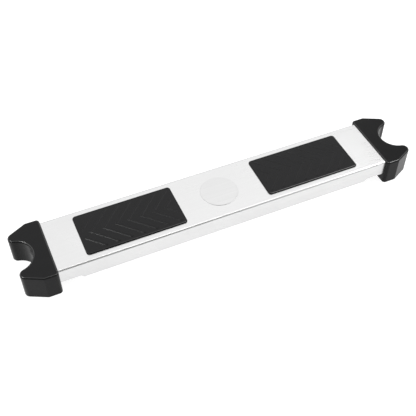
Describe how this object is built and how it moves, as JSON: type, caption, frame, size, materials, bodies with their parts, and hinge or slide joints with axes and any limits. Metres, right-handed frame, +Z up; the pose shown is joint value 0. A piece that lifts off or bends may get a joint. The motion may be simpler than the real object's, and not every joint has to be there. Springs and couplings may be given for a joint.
{
  "type": "pool ladder step",
  "caption": "Straight folded stainless tread with chevron grip pads, between two moulded end brackets whose half-round saddles seat on vertical round rails.",
  "frame": {"origin": "centred under the step, on the plane of the brackets' undersides", "axes": "+X along the tread to its right end, -Y to the front edge, +Z up"},
  "size_m": [0.5008, 0.087, 0.0351],
  "materials": {
    "tread_steel": "satin brushed along the tread",
    "badge_steel": "fine satin",
    "pad_rubber": "matt moulded",
    "bracket_plastic": "satin moulded",
    "fixing_steel": "plain"
  },
  "bodies": {
    "root": {"tread_channel": "tread_steel", "centre_badge": "badge_steel", "left_grip_pad": "pad_rubber", "right_grip_pad": "pad_rubber", "left_end_bracket": "bracket_plastic", "right_end_bracket": "bracket_plastic", "left_end_plate": "fixing_steel", "right_end_plate": "fixing_steel", "left_weld_nut": "fixing_steel", "right_weld_nut": "fixing_steel", "left_bracket_screws": "fixing_steel", "right_bracket_screws": "fixing_steel", "left_screw_washers": "fixing_steel", "right_screw_washers": "fixing_steel"}
  },
  "joints": []
}
